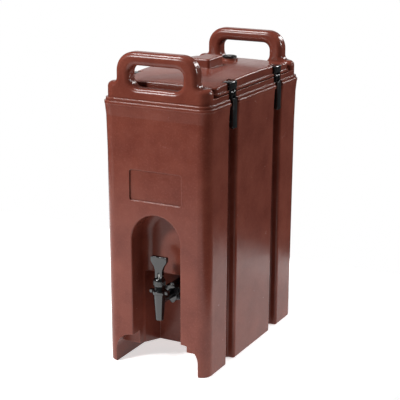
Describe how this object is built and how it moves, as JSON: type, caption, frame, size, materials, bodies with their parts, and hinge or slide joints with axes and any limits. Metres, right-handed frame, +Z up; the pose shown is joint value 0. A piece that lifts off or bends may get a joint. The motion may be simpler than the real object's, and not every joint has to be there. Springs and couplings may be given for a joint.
{
  "type": "insulated beverage dispenser",
  "caption": "Tall insulated drink dispenser with loop handles, latched lift-off lid and a lever faucet in a front alcove.",
  "frame": {"origin": "on the floor under the middle of the body", "axes": "+Z up, front with the faucet towards -Y, +X to the right seen from the front"},
  "size_m": [0.229, 0.419, 0.616],
  "materials": {
    "brown_polyethylene": "moulded polyethylene, satin",
    "tank_polyethylene": "moulded polyethylene, smooth",
    "insulating_foam": "rigid polyurethane foam",
    "black_nylon": "moulded nylon, satin",
    "black_polypropylene": "moulded polypropylene, glossy",
    "silicone": "silicone rubber",
    "stainless_steel": "drawn stainless pin stock"
  },
  "bodies": {
    "dispenser": {"body_shell": "brown_polyethylene", "body_foam": "insulating_foam", "tank_liner": "tank_polyethylene", "latch_screws": "stainless_steel", "faucet_shank": "black_polypropylene", "shank_seal_inner": "silicone", "shank_seal_outer": "silicone", "wing_nut": "black_nylon", "faucet_collar": "black_polypropylene", "faucet_body": "black_polypropylene", "faucet_bonnet": "black_polypropylene", "latch_1_bracket": "black_nylon", "latch_2_bracket": "black_nylon", "latch_3_bracket": "black_nylon", "latch_4_bracket": "black_nylon", "latch_1_pivot_pin": "stainless_steel", "latch_2_pivot_pin": "stainless_steel", "latch_3_pivot_pin": "stainless_steel", "latch_4_pivot_pin": "stainless_steel"},
    "lid": {"lid_shell": "brown_polyethylene", "lid_pan": "tank_polyethylene", "lid_foam": "insulating_foam", "lid_gasket": "silicone", "vent_seal": "silicone"},
    "vent": {"vent_cap": "black_nylon"},
    "valve": {"faucet_stem": "stainless_steel", "seat_cup": "silicone", "handle_pin": "stainless_steel"},
    "handle": {"faucet_handle": "black_polypropylene"},
    "lever_1": {"latch_1_lever": "black_nylon", "latch_1_link_pin": "stainless_steel"},
    "hook_1": {"latch_1_hook": "black_nylon"},
    "lever_2": {"latch_2_lever": "black_nylon", "latch_2_link_pin": "stainless_steel"},
    "hook_2": {"latch_2_hook": "black_nylon"},
    "lever_3": {"latch_3_lever": "black_nylon", "latch_3_link_pin": "stainless_steel"},
    "hook_3": {"latch_3_hook": "black_nylon"},
    "lever_4": {"latch_4_lever": "black_nylon", "latch_4_link_pin": "stainless_steel"},
    "hook_4": {"latch_4_hook": "black_nylon"}
  },
  "joints": [
    {"name": "lid_lift", "type": "slide", "parent": "dispenser", "child": "lid", "axis": [0, 0, 1], "range_m": [0, 0.061]},
    {"name": "vent_turn", "type": "hinge", "parent": "lid", "child": "vent", "pos_m": [0, 0.106, 0.567], "axis": [0, 0, 1], "range_deg": [0, 90]},
    {"name": "stem_lift", "type": "slide", "parent": "dispenser", "child": "valve", "axis": [0, 0, 1], "range_m": [0, 0.0041]},
    {"name": "handle_tilt", "type": "hinge", "parent": "valve", "child": "handle", "pos_m": [0, -0.19, 0.189], "axis": [1, 0, 0], "range_deg": [0, 40], "stiffness_Nm_per_rad": 0.4},
    {"name": "lever_1_swing", "type": "hinge", "parent": "dispenser", "child": "lever_1", "pos_m": [0.1065, -0.1017, 0.538], "axis": [0, -1, 0], "range_deg": [0, 140]},
    {"name": "hook_1_swing", "type": "hinge", "parent": "lever_1", "child": "hook_1", "pos_m": [0.1065, -0.1017, 0.486], "axis": [0, -1, 0], "range_deg": [-210, 0]},
    {"name": "lever_2_swing", "type": "hinge", "parent": "dispenser", "child": "lever_2", "pos_m": [0.1065, 0.1017, 0.538], "axis": [0, -1, 0], "range_deg": [0, 140]},
    {"name": "hook_2_swing", "type": "hinge", "parent": "lever_2", "child": "hook_2", "pos_m": [0.1065, 0.1017, 0.486], "axis": [0, -1, 0], "range_deg": [-210, 0]},
    {"name": "lever_3_swing", "type": "hinge", "parent": "dispenser", "child": "lever_3", "pos_m": [-0.1065, -0.1017, 0.538], "axis": [0, 1, 0], "range_deg": [0, 140]},
    {"name": "hook_3_swing", "type": "hinge", "parent": "lever_3", "child": "hook_3", "pos_m": [-0.1065, -0.1017, 0.486], "axis": [0, 1, 0], "range_deg": [-210, 0]},
    {"name": "lever_4_swing", "type": "hinge", "parent": "dispenser", "child": "lever_4", "pos_m": [-0.1065, 0.1017, 0.538], "axis": [0, 1, 0], "range_deg": [0, 140]},
    {"name": "hook_4_swing", "type": "hinge", "parent": "lever_4", "child": "hook_4", "pos_m": [-0.1065, 0.1017, 0.486], "axis": [0, 1, 0], "range_deg": [-210, 0]}
  ],
  "couplings": [
    {"joint": "stem_lift", "follows": "handle_tilt", "m_per_rad": 0.00573},
    {"joint": "lever_1_swing", "follows": "lid_lift", "rad_per_m": 40},
    {"joint": "hook_1_swing", "follows": "lid_lift", "rad_per_m": -60},
    {"joint": "lever_2_swing", "follows": "lid_lift", "rad_per_m": 40},
    {"joint": "hook_2_swing", "follows": "lid_lift", "rad_per_m": -60},
    {"joint": "lever_3_swing", "follows": "lid_lift", "rad_per_m": 40},
    {"joint": "hook_3_swing", "follows": "lid_lift", "rad_per_m": -60},
    {"joint": "lever_4_swing", "follows": "lid_lift", "rad_per_m": 40},
    {"joint": "hook_4_swing", "follows": "lid_lift", "rad_per_m": -60}
  ]
}
